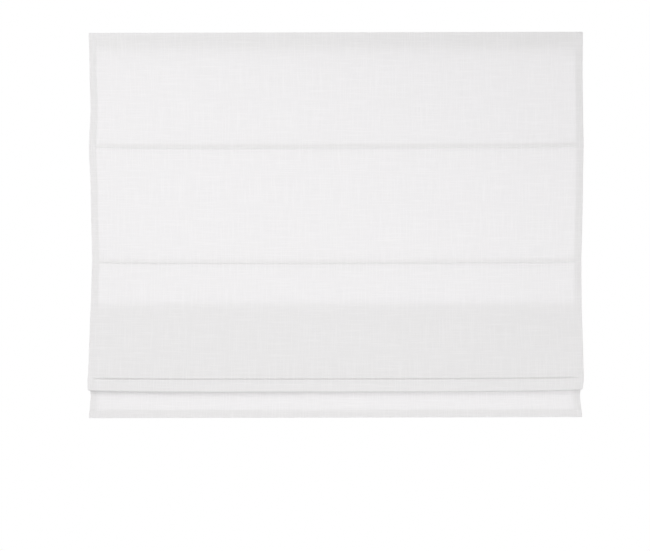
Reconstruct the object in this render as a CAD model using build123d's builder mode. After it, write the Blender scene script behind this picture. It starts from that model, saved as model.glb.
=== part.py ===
from build123d import *
import os
from math import pi

os.makedirs("parts", exist_ok=True)

# Roman blind, half raised, hanging on three wall brackets.
# Millimetres. The origin is on the wall, midway between the screws of the outer brackets.
# +X is to the right of somebody facing the blind, +Y goes into the wall, +Z is up.

# Cloth
blind_width = 1500.0
fold_pitch = 350.0
hem_drop = 350.0
cloth_t = 0.8
side_hem = 22.0
heading_rise = 4.0
lip_drop = 38.0
lip_r = 14.0
rod_4_drop = 829.0
rod_1_lean = 2.4
rod_3_lean = 3.4
hem_lean = 4.4
panel_bow = 3.0
upper_bow = 4.0

# Headrail, an aluminium extrusion that is open at the bottom
rail_depth = 44.0
rail_height = 46.0
rail_wall = 1.6
rail_inset = 5.0
rail_edge_r = 1.0
lip_width = 6.0
rib = 1.2
slot_mouth = 14.0
slot_width = 22.0
slot_depth = 4.4
end_cap_t = 2.5
end_cap_r = 0.5
plug_length = 12.0
plug_t = 2.0
plug_height = 22.0
tape_t = 1.2
tape_height = 18.0
tape_margin = 0.5

# Wall brackets and their turning locks
bracket_t = 1.6
bracket_width = 36.0
bracket_inset = 130.0
bracket_bend = 2.5
bracket_tip = 24.0
arm_reach = 40.0
arm_taper = 13.0
screw_head_room = 3.4
screw_pitch = 20.0
screw_hole_r = 2.25
screw_drop = 22.0
plate_margin = 10.0
pin_r = 4.0
pin_fit = 0.1
cam_length = 20.0
cam_width = 11.0
cam_t = 2.4
lever_t = 1.6
lever_width = 9.0
lever_reach = 17.0
lever_gap = 0.2
lever_hub_r = 6.5
lever_edge_r = 0.4

# Lift shaft, cord drums and their cradles
shaft_af = 6.0
shaft_fit = 0.1
shaft_overhang = 12.0
shaft_rise = 19.0
drum_r = 10.0
drum_lead_r = 12.0
drum_length = 24.5
drum_lead = 3.5
drum_start = 4.5
flange_r = 14.0
flange_t = 1.5
journal_r = 5.0
journal_length = 4.0
journal_fit = 0.1
cradle_base_t = 2.0
cradle_wall_t = 3.0
cradle_head_r = 9.0
cradle_foot = 32.0
cradle_margin = 5.0
cradle_corner_r = 2.5
snap_gap = 8.4
eyelet_r = 2.2
eyelet_rim = 1.6
eyelet_rise = 2.5
clip_r = 7.0
clip_t = 3.0

# Spring motor, a coiled power spring round the shaft
spring_x = 300.0
spring_cup_r = 16.5
spring_cup_wall = 1.6
spring_length = 30.0
spring_lid_t = 2.0
spring_foot = 23.0
arbor_r = 6.5
spring_gap = 0.4

# Lift cords and the rings that they run through
cord_r = 0.6
cord_inset = 150.0
cord_pitch = 1.25
safety_turns = 1.5
ring_outer_r = 6.5
ring_wire_r = 1.1
ring_shank = 1.5
shank_width = 3.0
stop_height = 8.0
stop_tip_r = 3.0
cord_tail = 3.0

# Rods in the tucks, and the bar in the bottom hem
rod_r = 2.25
rod_cap_r = 2.7
rod_cap_length = 8.0
rod_cap_wall_t = 1.5
rod_end_gap = 3.0
pocket_height = 12.0
neck_height = 9.0
neck_gap = 1.2
neck_stitch = 2.0
loop_ease = 0.2
flap_swing = 36.0
bar_height = 15.0
bar_t = 2.5
bar_cap_t = 3.0
bar_cap_length = 6.0
bar_pocket_height = 17.0
bar_pocket_r = 0.7

# Clearances
loose = 0.3
seated = 0.1
snug = 0.05

# Heights, from the screws up and down
turned = tape_margin + tape_height + heading_rise
rail_top = screw_drop
rail_bottom = rail_top - rail_height
cloth_top = rail_top + heading_rise
seam_1 = cloth_top - fold_pitch
seam_2 = seam_1 - fold_pitch
seam_3 = seam_2 - fold_pitch
rod_4_z = cloth_top - rod_4_drop
lip_z = seam_3 - lip_drop
hem_z = rod_4_z - hem_drop
shaft_z = rail_bottom + shaft_rise

# Depths, from the wall forwards
rail_back = -(bracket_t + screw_head_room)
rail_front = rail_back - rail_depth
rail_mid = (rail_back + rail_front) / 2
tape_face = rail_front - 2 * tape_t
heading_y = tape_face - 1.5 * cloth_t
shaft_y = rail_mid
cord_y = shaft_y + drum_r + snug + cord_r
ring_front = cord_y - ring_outer_r - ring_shank
loop_r = rod_cap_r + loose + loop_ease + cloth_t / 2
rod_4_y = ring_front - loose - cloth_t / 2 - loop_r
panel_1_y = heading_y - rod_1_lean
panel_2_y = rod_4_y - loop_r - 2 * cloth_t - loose
panel_3_y = heading_y - rod_3_lean
turn_y = panel_3_y + 2 * lip_r
pocket_gap = 2 * (rod_cap_r + loose)
hem_y = rod_4_y + hem_lean
bar_y = hem_y + cloth_t / 2 + loose + bar_cap_t / 2
bar_pocket_gap = bar_cap_t + 2 * loose

# Places along the width
half_width = blind_width / 2
rail_length = blind_width - 2 * rail_inset - 2 * end_cap_t
tuck_half = half_width - side_hem
rod_length = 2 * (tuck_half - rod_end_gap)
bracket_x = [-(half_width - bracket_inset), 0.0, half_width - bracket_inset]
cord_x = [-(half_width - cord_inset), 0.0, half_width - cord_inset]
sides = ["left", "middle", "right"]

# Travel of the lower fold, from the cloth that is folded up below rod 3
folded_run = lip_drop + pi * lip_r + (rod_4_z - lip_z)
lower_travel = folded_run + (rod_4_z - seam_3)
turn_length = 2 * pi * (drum_r + cord_r)
wound_turns = round(lower_travel / turn_length + safety_turns)


def keep(part, name):
    """Label a finished piece and write its STEP file."""
    part.label = name
    export_step(part, f"parts/{name}.step")


def cloth_run(foot):
    """Centre line of the cloth from its heading to a foot height, in the active BuildLine."""
    straight = pocket_height + cloth_t
    Line((heading_y, cloth_top - 2 * cloth_t), (heading_y, cloth_top - turned))
    Line((heading_y, cloth_top - turned), (panel_1_y, seam_1 + straight))
    Line((panel_1_y, seam_1 + straight), (panel_1_y, seam_1))
    middle_1 = (panel_1_y + panel_2_y) / 2
    height_1 = (seam_1 + seam_2 + straight) / 2
    ThreePointArc(
        (panel_1_y, seam_1), (middle_1 - upper_bow, height_1), (panel_2_y, seam_2 + straight)
    )
    Line((panel_2_y, seam_2 + straight), (panel_2_y, seam_2))
    middle_2 = (panel_2_y + panel_3_y) / 2
    height_2 = (seam_2 + seam_3 + straight) / 2
    ThreePointArc(
        (panel_2_y, seam_2), (middle_2 + panel_bow, height_2), (panel_3_y, seam_3 + straight)
    )
    Line((panel_3_y, seam_3 + straight), (panel_3_y, lip_z))
    ThreePointArc((panel_3_y, lip_z), (panel_3_y + lip_r, lip_z - lip_r), (turn_y, lip_z))
    neck_z = rod_4_z - neck_height
    neck = (cloth_t + neck_gap) / 2
    Line((turn_y, lip_z), (rod_4_y - neck, neck_z))
    Line((rod_4_y - neck, neck_z), (rod_4_y - loop_r, rod_4_z))
    apex = rod_4_z + loop_r
    ThreePointArc((rod_4_y - loop_r, rod_4_z), (rod_4_y, apex), (rod_4_y + loop_r, rod_4_z))
    Line((rod_4_y + loop_r, rod_4_z), (rod_4_y + neck, neck_z))
    Line((rod_4_y + neck, neck_z), (hem_y, neck_z - flap_swing))
    Line((hem_y, neck_z - flap_swing), (hem_y, foot))


# Cloth: one length with its heading, side hems, rod tucks and bottom hem, folded up below rod 3
bar_pocket_z = hem_z + (bar_pocket_height + 2 * cloth_t) / 2
with BuildPart() as fabric:
    tuck_back = [(panel_1_y, seam_1), (panel_2_y, seam_2), (panel_3_y, seam_3)]
    tucks = [(y + (pocket_gap + cloth_t) / 2, z + (pocket_height + cloth_t) / 2) for y, z in tuck_back]
    with BuildSketch(Plane.YZ):
        with BuildLine():
            cloth_run(bar_pocket_z)
            offset(amount=cloth_t / 2, side=Side.BOTH)
        make_face()
        with Locations((rod_4_y, rod_4_z - neck_height - neck_stitch / 2)):
            Rectangle(neck_gap + cloth_t, neck_stitch)
        with Locations(*tucks):
            SlotOverall(pocket_height + 2 * cloth_t, pocket_gap + 2 * cloth_t, rotation=90)
            SlotOverall(pocket_height, pocket_gap, rotation=90, mode=Mode.SUBTRACT)
        with Locations((bar_y, bar_pocket_z)):
            RectangleRounded(
                bar_pocket_gap + 2 * cloth_t, bar_pocket_height + 2 * cloth_t, bar_pocket_r + cloth_t
            )
            RectangleRounded(bar_pocket_gap, bar_pocket_height, bar_pocket_r, mode=Mode.SUBTRACT)
    extrude(amount=tuck_half, both=True)
    for edge_x in (-half_width, tuck_half):
        with BuildSketch(Plane.YZ.offset(edge_x)):
            with BuildLine():
                cloth_run(hem_z + cloth_t)
                offset(amount=cloth_t, side=Side.BOTH)
            make_face()
        extrude(amount=side_hem)
    with BuildSketch(Plane.YZ):
        with Locations((tape_face - cloth_t, cloth_top - turned / 2)):
            Rectangle(2 * cloth_t, turned)
    extrude(amount=half_width, both=True)
keep(fabric.part, "fabric")

# Headrail: a channel, open below between two lips, with an undercut slot along its top
slot_floor = rail_top - rail_wall - slot_depth
lip_top = rail_bottom + rail_wall
channel_top = slot_floor - rail_wall
with BuildPart() as headrail:
    with BuildSketch(Plane.YZ):
        with Locations((rail_mid, (rail_top + rail_bottom) / 2)):
            RectangleRounded(rail_depth, rail_height, rail_edge_r)
        with Locations((rail_mid, (channel_top + lip_top) / 2)):
            Rectangle(rail_depth - 2 * rail_wall, channel_top - lip_top, mode=Mode.SUBTRACT)
        with Locations((rail_mid, rail_bottom + rail_wall / 2)):
            Rectangle(rail_depth - 2 * (rail_wall + lip_width), rail_wall, mode=Mode.SUBTRACT)
        with Locations((rail_mid, slot_floor + slot_depth / 2)):
            Rectangle(slot_width, slot_depth, mode=Mode.SUBTRACT)
        with Locations((rail_mid, rail_top - rail_wall / 2)):
            Rectangle(slot_mouth, rail_wall, mode=Mode.SUBTRACT)
        rib_z = lip_top + cradle_base_t + loose + rib / 2
        rib_y = rail_depth / 2 - rail_wall - rib / 2
        with Locations((rail_mid - rib_y, rib_z), (rail_mid + rib_y, rib_z)):
            Rectangle(rib, rib)
        chamber = (rail_depth - slot_width) / 2 - 2 * rail_wall
        chamber_y = (slot_width + chamber) / 2 + rail_wall
        chamber_z = slot_floor + slot_depth / 2
        with Locations((rail_mid - chamber_y, chamber_z), (rail_mid + chamber_y, chamber_z)):
            Rectangle(chamber, slot_depth, mode=Mode.SUBTRACT)
    extrude(amount=rail_length / 2, both=True)
keep(headrail.part, "headrail_profile")


def end_cap(side):
    """Moulded end cap: a plate with the rail's outline and two tongues that plug into the channel."""
    face_x = side * rail_length / 2
    with BuildPart() as cap:
        with BuildSketch(Plane.YZ.offset(face_x)):
            with Locations((rail_mid, (rail_top + rail_bottom) / 2)):
                RectangleRounded(rail_depth, rail_height, rail_edge_r)
        extrude(amount=side * end_cap_t)
        outer = cap.faces().sort_by(Axis.X)[-1 if side > 0 else 0]
        fillet(outer.edges(), end_cap_r)
        tongue_y = rail_depth / 2 - rail_wall - seated - plug_t / 2
        tongue_z = (rib_z + rib / 2 + channel_top) / 2
        with BuildSketch(Plane.YZ.offset(face_x)):
            with Locations((rail_mid - tongue_y, tongue_z), (rail_mid + tongue_y, tongue_z)):
                Rectangle(plug_t, plug_height)
            with Locations((rail_mid, channel_top - seated - plug_t / 2)):
                Rectangle(2 * tongue_y - plug_t, plug_t)
        extrude(amount=-side * plug_length)
    return cap.part


keep(end_cap(-1), "end_cap_left")
keep(end_cap(1), "end_cap_right")

# Hook tape on the rail and loop tape on the back of the heading
tape_z = rail_top - tape_margin - tape_height / 2
with BuildPart() as hook_tape:
    with BuildSketch(Plane.XZ.offset(-rail_front)):
        with Locations((0, tape_z)):
            Rectangle(rail_length, tape_height)
    extrude(amount=tape_t)
keep(hook_tape.part, "hook_tape")
with BuildPart() as loop_tape:
    with BuildSketch(Plane.XZ.offset(-rail_front + tape_t)):
        with Locations((0, tape_z)):
            Rectangle(rail_length, tape_height)
    extrude(amount=tape_t)
keep(loop_tape.part, "loop_tape")


def wall_bracket(x):
    """Bent steel bracket: a plate with two screw holes on the wall, and an arm over the rail."""
    arm_top = rail_top + bracket_t
    arm_tip = -bracket_t - arm_reach
    plate_foot = -screw_pitch / 2 - plate_margin
    with BuildPart() as bracket:
        with BuildSketch(Plane.YZ.offset(x)):
            with BuildLine():
                Polyline(
                    (0, plate_foot),
                    (0, arm_top),
                    (arm_tip, arm_top),
                    (arm_tip, rail_top),
                    (-bracket_t, rail_top),
                    (-bracket_t, plate_foot),
                    close=True,
                )
            make_face()
        extrude(amount=bracket_width / 2, both=True)
        long_edges = bracket.edges().filter_by(Axis.X)
        fillet(long_edges.sort_by_distance((x, 0, arm_top))[0], bracket_bend + bracket_t)
        tip_edges = bracket.faces().sort_by(Axis.Y)[0].edges().filter_by(Axis.Z)
        chamfer(tip_edges, length=(bracket_width - bracket_tip) / 2, length2=arm_taper)
        foot_edges = bracket.faces().sort_by(Axis.Z)[0].edges().filter_by(Axis.Y)
        fillet(foot_edges, bracket_bend)
        with BuildSketch(Plane.XZ):
            with Locations((x, screw_pitch / 2), (x, -screw_pitch / 2)):
                Circle(screw_hole_r)
        extrude(amount=bracket_t, mode=Mode.SUBTRACT)
        with BuildSketch(Plane.XY.offset(rail_top)):
            with Locations((x, rail_mid)):
                Circle(pin_r + pin_fit)
        extrude(amount=bracket_t, mode=Mode.SUBTRACT)
    return bracket.part


def lock_lever(x):
    """Turning lock: a lever above the arm, a pin through it, and a long cam in the rail's slot."""
    cam_top = rail_top - rail_wall - loose
    lever_bottom = rail_top + bracket_t + lever_gap
    with BuildPart() as lever:
        with BuildSketch(Plane.XY.offset(cam_top - cam_t)):
            with Locations((x, rail_mid)):
                SlotOverall(cam_length, cam_width, rotation=90)
        extrude(amount=cam_t)
        with BuildSketch(Plane.XY.offset(cam_top)):
            with Locations((x, rail_mid)):
                Circle(pin_r)
        extrude(amount=lever_bottom - cam_top)
        with BuildSketch(Plane.XY.offset(lever_bottom)):
            with Locations((x, rail_mid)):
                Circle(lever_hub_r)
            with Locations((x, rail_mid - lever_reach / 2)):
                SlotOverall(lever_reach + lever_width, lever_width, rotation=90)
        extrude(amount=lever_t)
        fillet(lever.faces().sort_by(Axis.Z)[-1].edges(), lever_edge_r)
    return lever.part


for side, x in zip(sides, bracket_x):
    keep(wall_bracket(x), f"wall_bracket_{side}")
    keep(lock_lever(x), f"lock_lever_{side}")

# Lift shaft: a hexagonal bar through the drums, the spring arbor and the end clips
drum_left = -(flange_t + drum_start + journal_length)
drum_right = drum_length - drum_start + flange_t + journal_length
shaft_start = cord_x[0] + drum_left - shaft_overhang
shaft_end = cord_x[-1] + drum_right + shaft_overhang
shaft_axis = Axis((0, shaft_y, shaft_z), (1, 0, 0))
with BuildPart() as lift_shaft:
    with BuildSketch(Plane.YZ.offset(shaft_start)):
        with Locations((shaft_y, shaft_z)):
            RegularPolygon(shaft_af / 2, 6, major_radius=False)
    extrude(amount=shaft_end - shaft_start)
keep(lift_shaft.part, "lift_shaft")


def cord_drum(x):
    """Drum with a tapered lead, two flanges and two journals, turned round the shaft."""
    low = x - drum_start
    high = low + drum_length
    with BuildPart() as drum:
        with BuildSketch(Plane((0, shaft_y, shaft_z), x_dir=(1, 0, 0), z_dir=(0, -1, 0))):
            with BuildLine():
                Polyline(
                    (low - flange_t - journal_length, 0),
                    (low - flange_t - journal_length, journal_r),
                    (low - flange_t, journal_r),
                    (low - flange_t, flange_r),
                    (low, flange_r),
                    (low, drum_lead_r),
                    (low + drum_lead, drum_r),
                    (high, drum_r),
                    (high, flange_r),
                    (high + flange_t, flange_r),
                    (high + flange_t, journal_r),
                    (high + flange_t + journal_length, journal_r),
                    (high + flange_t + journal_length, 0),
                    close=True,
                )
            make_face()
        revolve(axis=shaft_axis)
        bore_start = low - flange_t - journal_length
        with BuildSketch(Plane.YZ.offset(bore_start)):
            with Locations((shaft_y, shaft_z)):
                RegularPolygon((shaft_af + shaft_fit) / 2, 6, major_radius=False)
        extrude(amount=drum_length + 2 * (flange_t + journal_length), mode=Mode.SUBTRACT)
    return drum.part


for side, x in zip(sides, cord_x):
    keep(cord_drum(x), f"cord_drum_{side}")

# Cord on the drums: the wound turns of each cord as one ribbed sleeve
with BuildPart() as windings:
    for x in cord_x:
        first = x + cord_r + loose
        last = first + wound_turns * cord_pitch
        valley = drum_r + snug + cord_r
        crest = drum_r + snug + 2 * cord_r
        with BuildSketch(Plane((0, shaft_y, shaft_z), x_dir=(1, 0, 0), z_dir=(0, -1, 0))):
            with BuildLine():
                Polyline((first, valley), (first, drum_r + snug), (last, drum_r + snug), (last, valley))
                for turn in range(wound_turns):
                    left = first + turn * cord_pitch
                    Polyline((left, valley), (left + cord_pitch / 2, crest), (left + cord_pitch, valley))
            make_face()
        revolve(axis=shaft_axis)
keep(windings.part, "cord_windings")

# Push-on clips that keep the shaft from sliding along
with BuildPart() as clips:
    for clip_x in (shaft_start + shaft_overhang / 2 - clip_t, shaft_end - shaft_overhang / 2):
        with BuildSketch(Plane.YZ.offset(clip_x)):
            with Locations((shaft_y, shaft_z)):
                Circle(clip_r)
                RegularPolygon((shaft_af + shaft_fit) / 2, 6, major_radius=False, mode=Mode.SUBTRACT)
        extrude(amount=clip_t)
keep(clips.part, "shaft_clips")


def bearing_outline():
    """Bearing wall in the active BuildSketch: a foot on the base that narrows to a round head."""
    with Locations((shaft_y, shaft_z)):
        Circle(cradle_head_r)
    with Locations((shaft_y, lip_top + cradle_base_t - seated)):
        Rectangle(cradle_foot, 2 * seated)
    make_hull()


def drum_cradle(x):
    """Moulded cradle on the rail's lips: a base, two bearing walls that the drum snaps into, an eyelet."""
    base_start = x + drum_left - cradle_margin
    base_end = x + drum_right + cradle_margin
    wall_starts = (
        x - drum_start - flange_t - loose - cradle_wall_t,
        x + drum_length - drum_start + flange_t + loose,
    )
    middle = (base_start + base_end) / 2
    with BuildPart() as cradle:
        with BuildSketch(Plane.XY.offset(lip_top)):
            with Locations((middle, rail_mid)):
                Rectangle(base_end - base_start, rail_depth - 2 * (rail_wall + seated))
        extrude(amount=cradle_base_t)
        with BuildSketch(Plane.XY.offset(lip_top)):
            with Locations((middle, rail_mid)):
                mouth = rail_depth - 2 * (rail_wall + lip_width + seated)
                RectangleRounded(base_end - base_start - 2 * cradle_margin, mouth, cradle_corner_r)
        extrude(amount=-rail_wall + seated)
        for start in wall_starts:
            with BuildSketch(Plane.YZ.offset(start)):
                bearing_outline()
                with Locations((shaft_y, shaft_z)):
                    Circle(journal_r + journal_fit, mode=Mode.SUBTRACT)
                with Locations((shaft_y, shaft_z + cradle_head_r / 2)):
                    Rectangle(snap_gap, cradle_head_r, mode=Mode.SUBTRACT)
            extrude(amount=cradle_wall_t)
        with BuildSketch(Plane.XY.offset(lip_top + cradle_base_t)):
            with Locations((x, cord_y)):
                Circle(eyelet_r + eyelet_rim)
        extrude(amount=eyelet_rise)
        with BuildSketch(Plane.XY.offset(rail_bottom)):
            with Locations((x, cord_y)):
                Circle(eyelet_r)
        extrude(amount=rail_wall + cradle_base_t + eyelet_rise, mode=Mode.SUBTRACT)
    return cradle.part


for side, x in zip(sides, cord_x):
    keep(drum_cradle(x), f"drum_cradle_{side}")

# Spring motor: a cup on the rail's lips, its lid, the coiled spring and the arbor on the shaft
cup_end = spring_x + spring_length


def motor_outline():
    """Outline of the motor in the active BuildSketch: the round cup on its foot."""
    with Locations((shaft_y, shaft_z)):
        Circle(spring_cup_r)
    with Locations((shaft_y, lip_top + cradle_base_t / 2)):
        Rectangle(rail_depth - 2 * (rail_wall + seated), cradle_base_t)
    with Locations((shaft_y, (lip_top + shaft_z) / 2)):
        Rectangle(spring_foot, shaft_z - lip_top)


with BuildPart() as spring_housing:
    with BuildSketch(Plane.YZ.offset(spring_x)):
        motor_outline()
    extrude(amount=spring_length)
    with BuildSketch(Plane.YZ.offset(spring_x + spring_cup_wall)):
        with Locations((shaft_y, shaft_z)):
            Circle(spring_cup_r - spring_cup_wall)
    extrude(amount=spring_length, mode=Mode.SUBTRACT)
    with BuildSketch(Plane.YZ.offset(spring_x)):
        with Locations((shaft_y, shaft_z)):
            Circle(journal_r + journal_fit)
    extrude(amount=spring_cup_wall, mode=Mode.SUBTRACT)
keep(spring_housing.part, "spring_housing")

with BuildPart() as spring_lid:
    with BuildSketch(Plane.YZ.offset(cup_end)):
        motor_outline()
        with Locations((shaft_y, shaft_z)):
            Circle(journal_r + journal_fit, mode=Mode.SUBTRACT)
    extrude(amount=spring_lid_t)
keep(spring_lid.part, "spring_lid")

coil_start = spring_x + spring_cup_wall + spring_gap
coil_length = spring_length - spring_cup_wall - 2 * spring_gap
with BuildPart() as power_spring:
    with BuildSketch(Plane.YZ.offset(coil_start)):
        with Locations((shaft_y, shaft_z)):
            Circle(spring_cup_r - spring_cup_wall - seated)
            Circle(arbor_r + loose, mode=Mode.SUBTRACT)
    extrude(amount=coil_length)
keep(power_spring.part, "power_spring")

with BuildPart() as spring_arbor:
    with BuildSketch(Plane.YZ.offset(coil_start)):
        with Locations((shaft_y, shaft_z)):
            Circle(arbor_r)
    extrude(amount=coil_length)
    with BuildSketch(Plane.YZ.offset(spring_x - flange_t)):
        with Locations((shaft_y, shaft_z)):
            Circle(journal_r)
    extrude(amount=spring_length + spring_lid_t + 2 * flange_t)
    with BuildSketch(Plane.YZ.offset(spring_x - flange_t)):
        with Locations((shaft_y, shaft_z)):
            RegularPolygon((shaft_af + shaft_fit) / 2, 6, major_radius=False)
    extrude(amount=spring_length + spring_lid_t + 2 * flange_t, mode=Mode.SUBTRACT)
keep(spring_arbor.part, "spring_arbor")


def rod(y, z):
    """Thin round rod that lies in a tuck."""
    with BuildPart() as bar:
        with BuildSketch(Plane.YZ):
            with Locations((y, z)):
                Circle(rod_r)
        extrude(amount=rod_length / 2 - rod_cap_wall_t, both=True)
    return bar.part


def rod_caps(y, z):
    """Two blind plastic caps, one pushed onto each end of a rod."""
    with BuildPart() as caps:
        for side in (-1, 1):
            with BuildSketch(Plane.YZ.offset(side * rod_length / 2)):
                with Locations((y, z)):
                    Circle(rod_cap_r)
            extrude(amount=-side * rod_cap_length)
            with BuildSketch(Plane.YZ.offset(side * (rod_length / 2 - rod_cap_wall_t))):
                with Locations((y, z)):
                    Circle(rod_r + snug)
            extrude(amount=-side * rod_cap_length, mode=Mode.SUBTRACT)
    return caps.part


rod_seat = cloth_t / 2 + loose + rod_cap_r
rod_places = [
    (panel_1_y + rod_seat, seam_1 + rod_seat),
    (panel_2_y + rod_seat, seam_2 + rod_seat),
    (panel_3_y + rod_seat, seam_3 + rod_seat),
    (rod_4_y, rod_4_z),
]
for number, (y, z) in enumerate(rod_places, start=1):
    keep(rod(y, z), f"rod_{number}")
    keep(rod_caps(y, z), f"rod_{number}_caps")


def cord_rings(z, cloth_back):
    """Three moulded rings on a tuck, each with a shank that is sewn to the back of the cloth."""
    centre_r = ring_outer_r - ring_wire_r
    shank_end = cord_y - centre_r
    shank_length = shank_end - cloth_back - loose
    with BuildPart() as rings:
        with Locations(*[(x, cord_y, z) for x in cord_x]):
            Torus(centre_r, ring_wire_r)
        with Locations(*[(x, shank_end - shank_length / 2, z) for x in cord_x]):
            Box(shank_width, shank_length, 2 * ring_wire_r)
    return rings.part


ring_2_z = seam_2 + (pocket_height + cloth_t) / 2
keep(cord_rings(ring_2_z, panel_2_y + pocket_gap + 1.5 * cloth_t), "cord_rings_rod_2")
keep(cord_rings(rod_4_z, rod_4_y + loop_r + cloth_t / 2), "cord_rings_rod_4")

# Cord stops: a tapered knot cover on each cord, under the rings of rod 4
stop_top = rod_4_z - ring_wire_r - seated
with BuildPart() as cord_stops:
    for x in cord_x:
        with BuildSketch(Plane.XY.offset(stop_top)):
            with Locations((x, cord_y)):
                Circle(ring_outer_r - ring_wire_r / 2)
        with BuildSketch(Plane.XY.offset(stop_top - stop_height)):
            with Locations((x, cord_y)):
                Circle(stop_tip_r)
        loft()
    with BuildSketch(Plane.XY.offset(stop_top)):
        with Locations(*[(x, cord_y) for x in cord_x]):
            Circle(cord_r + snug)
    extrude(amount=-stop_height, mode=Mode.SUBTRACT)
keep(cord_stops.part, "cord_stops")

# Lift cords: straight and taut, from the back of each drum to its stop
cord_end = stop_top - stop_height - cord_tail
with BuildPart() as lift_cords:
    with BuildSketch(Plane.XY.offset(cord_end)):
        with Locations(*[(x, cord_y) for x in cord_x]):
            Circle(cord_r)
    extrude(amount=shaft_z - cord_end)
keep(lift_cords.part, "lift_cords")

# Bottom bar: a flat bar in the hem, with a plastic cap at each end
bar_cap_height = bar_height + bar_cap_t - bar_t
bar_z = hem_z + cloth_t + loose + bar_cap_height / 2
with BuildPart() as bottom_bar:
    with BuildSketch(Plane.YZ):
        with Locations((bar_y, bar_z)):
            Rectangle(bar_t, bar_height)
    extrude(amount=rod_length / 2 - rod_cap_wall_t, both=True)
keep(bottom_bar.part, "bottom_bar")
with BuildPart() as bar_caps:
    for side in (-1, 1):
        with BuildSketch(Plane.YZ.offset(side * rod_length / 2)):
            with Locations((bar_y, bar_z)):
                RectangleRounded(bar_cap_t, bar_cap_height, bar_pocket_r)
        extrude(amount=-side * bar_cap_length)
        with BuildSketch(Plane.YZ.offset(side * (rod_length / 2 - rod_cap_wall_t))):
            with Locations((bar_y, bar_z)):
                Rectangle(bar_t, bar_height)
        extrude(amount=-side * bar_cap_length, mode=Mode.SUBTRACT)
keep(bar_caps.part, "bottom_bar_caps")

print("cloth drop when lowered", round(cloth_top - seam_3 + folded_run + hem_drop, 1))
print("lower fold travel down", round(lower_travel, 1), "turns on a drum", wound_turns)
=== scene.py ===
# %% [markdown]
# # A half-raised roman blind
#
# This lesson dresses a finished model of a roman blind. The frame holds the rail, the rods, the
# drums and the brackets at their real size. What is made here is the cloth, its tucks and
# stitches, the cords and every finish. All of it is in metres. The screws of the brackets are at
# zero height and zero depth, and the room is towards -Y.

# %% The frame and its box
from math import cos, exp, hypot, pi, radians, sin

import bpy
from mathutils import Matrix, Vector, noise


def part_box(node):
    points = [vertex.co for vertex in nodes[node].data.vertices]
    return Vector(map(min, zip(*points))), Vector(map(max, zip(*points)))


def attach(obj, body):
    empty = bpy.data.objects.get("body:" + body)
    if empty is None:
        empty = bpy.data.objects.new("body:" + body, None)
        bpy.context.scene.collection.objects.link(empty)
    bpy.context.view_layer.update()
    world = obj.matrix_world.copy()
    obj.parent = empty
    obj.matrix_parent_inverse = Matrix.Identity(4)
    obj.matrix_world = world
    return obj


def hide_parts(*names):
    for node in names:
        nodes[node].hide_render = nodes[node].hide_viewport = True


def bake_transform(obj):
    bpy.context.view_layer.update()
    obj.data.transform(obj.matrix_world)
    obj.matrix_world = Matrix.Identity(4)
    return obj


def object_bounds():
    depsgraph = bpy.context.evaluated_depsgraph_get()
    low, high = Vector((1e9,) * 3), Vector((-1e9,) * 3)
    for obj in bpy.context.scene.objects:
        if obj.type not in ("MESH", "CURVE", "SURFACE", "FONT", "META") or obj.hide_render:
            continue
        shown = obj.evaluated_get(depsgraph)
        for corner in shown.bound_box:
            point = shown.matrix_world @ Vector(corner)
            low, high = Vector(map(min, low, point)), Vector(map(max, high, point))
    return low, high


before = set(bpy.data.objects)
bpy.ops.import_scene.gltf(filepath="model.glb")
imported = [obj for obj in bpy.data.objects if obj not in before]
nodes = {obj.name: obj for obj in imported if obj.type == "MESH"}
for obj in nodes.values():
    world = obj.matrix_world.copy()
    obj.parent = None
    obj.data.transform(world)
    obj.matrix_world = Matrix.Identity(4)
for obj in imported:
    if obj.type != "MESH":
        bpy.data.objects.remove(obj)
cad_low, cad_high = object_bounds()
bpy.ops.object.select_all(action="DESELECT")
bpy.context.scene.view_settings.view_transform = "Standard"
print("frame box", [round(v, 3) for v in (*cad_low, *cad_high)])

# %% [markdown]
# The photograph is taken straight on, and its edges hardly converge, so the camera stands more
# than four metres away and has a long lens. A nearer camera with a shifted lens could frame the
# blind too, but its edges would spread. A level camera at the right height needs no shift, and a
# roll of an eighth of a degree matches the slight tilt of the heading.

# %% Camera
MM = 0.001
view_distance = 4.3
view_width = 1.982
camera_x = -31.7 * MM
camera_z = -716 * MM
camera_roll = radians(0.13)

bpy.ops.object.camera_add(
    location=(camera_x, cad_low.y - view_distance, camera_z), rotation=(radians(90), camera_roll, 0)
)
camera = bpy.context.object
camera.name = "camera"
camera.data.sensor_width = 36
camera.data.lens = camera.data.sensor_width * view_distance / view_width
camera.data.clip_end = 50
bpy.context.scene.camera = camera
print("lens", round(camera.data.lens, 1), "mm")

# %% [markdown]
# Every piece of cloth takes its place from what carries it: the heading from the tape, each seam
# from its rod, the bottom hem from its bar. These places could be typed in as numbers, but read
# from the frame they fit the frame. Only what it does not know, such as how thin the real weave
# is, is written here.

# %% Places from the frame
weave_t = 0.4 * MM
layer = 0.6 * MM
rod_seat = 3.4 * MM
rod_end_room = 4.5 * MM
tape_room = 1.2 * MM
bar_room = 0.7 * MM


def middle(node):
    """Centre of a node's box."""
    low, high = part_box(node)
    return (low + high) / 2


cloth_low, cloth_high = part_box("fabric")
half_width = cloth_high.x
cloth_top = cloth_high.z
tape_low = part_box("loop_tape")[0]
rods = [middle(f"rod_{number}") for number in (1, 2, 3, 4)]
seams = [rod.z - rod_seat for rod in rods[:3]]
panels = [rod.y - rod_seat for rod in rods[:3]]
turned_foot = tape_low.z
heading_y = tape_low.y - tape_room
tuck_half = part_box("rod_1")[1].x + rod_end_room
side_hem = half_width - tuck_half
bar_low, bar_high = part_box("bottom_bar_caps")
print("seams", [round(z, 3) for z in seams], "side hem", round(side_hem / MM, 1), "mm")

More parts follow.
